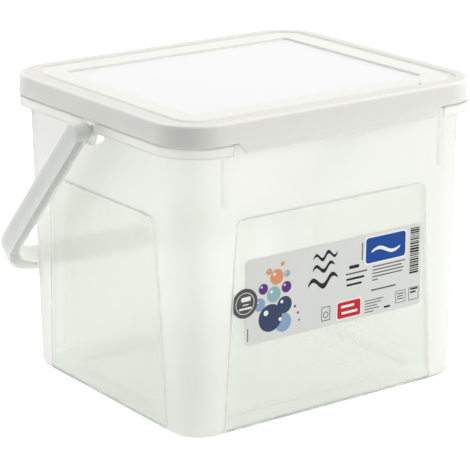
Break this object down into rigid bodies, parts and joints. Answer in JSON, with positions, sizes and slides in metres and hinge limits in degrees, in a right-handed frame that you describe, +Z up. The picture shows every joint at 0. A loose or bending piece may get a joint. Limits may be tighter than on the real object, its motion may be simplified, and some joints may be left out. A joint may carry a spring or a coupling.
{
  "type": "powder storage container",
  "caption": "Translucent tub for washing powder with a white push-on lid and front pull tab, a carrying handle that swings on side pegs, and a plain printed front label.",
  "frame": {"origin": "middle of the flat foot under the tub, on the table", "axes": "+Z up, +X right along the labelled front, -Y out of the labelled front, +Y to the back, where the handle hangs"},
  "size_m": [0.2342, 0.1959, 0.181],
  "materials": {
    "tub_plastic": "translucent, smooth moulded polypropylene",
    "lid_plastic": "white, satin moulded polypropylene",
    "handle_plastic": "white, satin moulded polypropylene",
    "label_paper": "satin, printed in flat colours",
    "sticker_paper": "satin, printed dark grey"
  },
  "bodies": {
    "tub": {"tub": "tub_plastic", "label": "label_paper", "round_sticker": "sticker_paper"},
    "lid": {"lid": "lid_plastic"},
    "handle": {"handle": "handle_plastic"}
  },
  "joints": [
    {"name": "lid_lift", "type": "slide", "parent": "tub", "child": "lid", "axis": [0, 0, 1], "range_m": [0, 0.06]},
    {"name": "handle_swing", "type": "hinge", "parent": "tub", "child": "handle", "pos_m": [0, 0, 0.1625], "axis": [1, 0, 0], "range_deg": [0, 273.7]}
  ]
}
